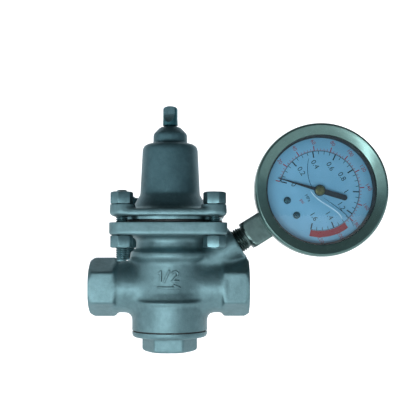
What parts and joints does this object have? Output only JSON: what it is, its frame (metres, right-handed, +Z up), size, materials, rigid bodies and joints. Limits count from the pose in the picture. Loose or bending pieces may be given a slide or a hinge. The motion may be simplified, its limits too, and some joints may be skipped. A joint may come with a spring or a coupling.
{
  "type": "pressure reducing valve",
  "caption": "Cast steel pressure reducing valve with threaded hex ends, a bolted spring bonnet with adjusting screw, a bottom plug and a tilted dial gauge.",
  "frame": {"origin": "middle of the body, where the pipe axis crosses the axis of the spring and stem", "axes": "+X along the pipe, in the direction of flow; +Z up along the stem and adjusting screw; the gauge dial faces -Y"},
  "size_m": [0.1521, 0.0584, 0.1278],
  "materials": {
    "cast_steel": "bead-blasted casting",
    "bright_steel": "machined",
    "fastener_steel": "machined",
    "spring_steel": "drawn wire",
    "rubber": "matte",
    "gauge_steel": "satin",
    "gauge_bezel": "polished",
    "gauge_stem": "satin",
    "gauge_glass": "clear",
    "dial_white": "matte",
    "pointer_black": "matte",
    "brass": "machined"
  },
  "bodies": {
    "root": {"body": "cast_steel", "bonnet": "cast_steel", "bottom_plug": "cast_steel", "seat_ring": "bright_steel", "stud_front_left": "fastener_steel", "stud_front_right": "fastener_steel", "stud_rear_left": "fastener_steel", "stud_rear_right": "fastener_steel", "upper_nut_front_left": "fastener_steel", "upper_nut_front_right": "fastener_steel", "upper_nut_rear_left": "fastener_steel", "upper_nut_rear_right": "fastener_steel", "lower_nut_front_left": "fastener_steel", "lower_nut_front_right": "fastener_steel", "lower_nut_rear_left": "fastener_steel", "lower_nut_rear_right": "fastener_steel", "return_spring": "spring_steel", "diaphragm": "rubber", "plug_gasket": "rubber", "stem_o_ring": "rubber", "window_seal": "rubber", "fill_plug": "rubber", "gauge_case": "gauge_steel", "movement_screw_1": "gauge_steel", "movement_screw_2": "gauge_steel", "dial_screw_1": "gauge_steel", "dial_screw_2": "gauge_steel", "stop_pin": "gauge_steel", "gauge_bezel": "gauge_bezel", "gauge_socket": "gauge_stem", "gauge_window": "gauge_glass", "gauge_dial": "dial_white", "movement_front_plate": "brass", "movement_back_plate": "brass", "movement_pillar_1": "brass", "movement_pillar_2": "brass", "bourdon_tube": "brass", "tube_tip": "brass"},
    "button": {"spring_button": "bright_steel"},
    "screw": {"adjusting_screw": "bright_steel"},
    "stem_set": {"stem": "bright_steel", "valve_disc": "bright_steel", "disc_seal": "rubber", "disc_nut": "bright_steel", "diaphragm_lower_plate": "bright_steel", "diaphragm_upper_plate": "bright_steel", "diaphragm_nut": "bright_steel", "regulating_spring": "spring_steel"},
    "pointer_set": {"pointer": "pointer_black", "pointer_cap": "brass", "pinion_arbor": "brass"},
    "sector": {"sector_gear": "brass"},
    "link": {"movement_link": "brass"}
  },
  "joints": [
    {"name": "button_slide", "type": "slide", "parent": "root", "child": "button", "axis": [0, 0, -1], "range_m": [0, 0.005], "deforming": ["regulating_spring"]},
    {"name": "screw_turn", "type": "hinge", "parent": "button", "child": "screw", "pos_m": [0, 0, 0.08], "axis": [0, 0, -1], "range_deg": [0, 1440]},
    {"name": "stem_slide", "type": "slide", "parent": "root", "child": "stem_set", "axis": [0, 0, -1], "range_m": [0, 0.0025], "deforming": ["diaphragm", "return_spring", "regulating_spring"]},
    {"name": "pointer_turn", "type": "hinge", "parent": "root", "child": "pointer_set", "pos_m": [0.07713, 0, 0.04959], "axis": [0, 1, 0], "range_deg": [0, 266.5]},
    {"name": "sector_turn", "type": "hinge", "parent": "root", "child": "sector", "pos_m": [0.06823, 0, 0.04403], "axis": [0, 1, 0], "range_deg": [-45, 0]},
    {"name": "link_turn", "type": "hinge", "parent": "sector", "child": "link", "pos_m": [0.06328, 0, 0.04063], "axis": [0, 1, 0], "range_deg": [0, 45]}
  ],
  "couplings": [
    {"joint": "screw_turn", "follows": "button_slide", "rad_per_m": 5026.5},
    {"joint": "sector_turn", "follows": "pointer_turn", "ratio": -0.16667},
    {"joint": "link_turn", "follows": "pointer_turn", "ratio": 0.16667}
  ]
}
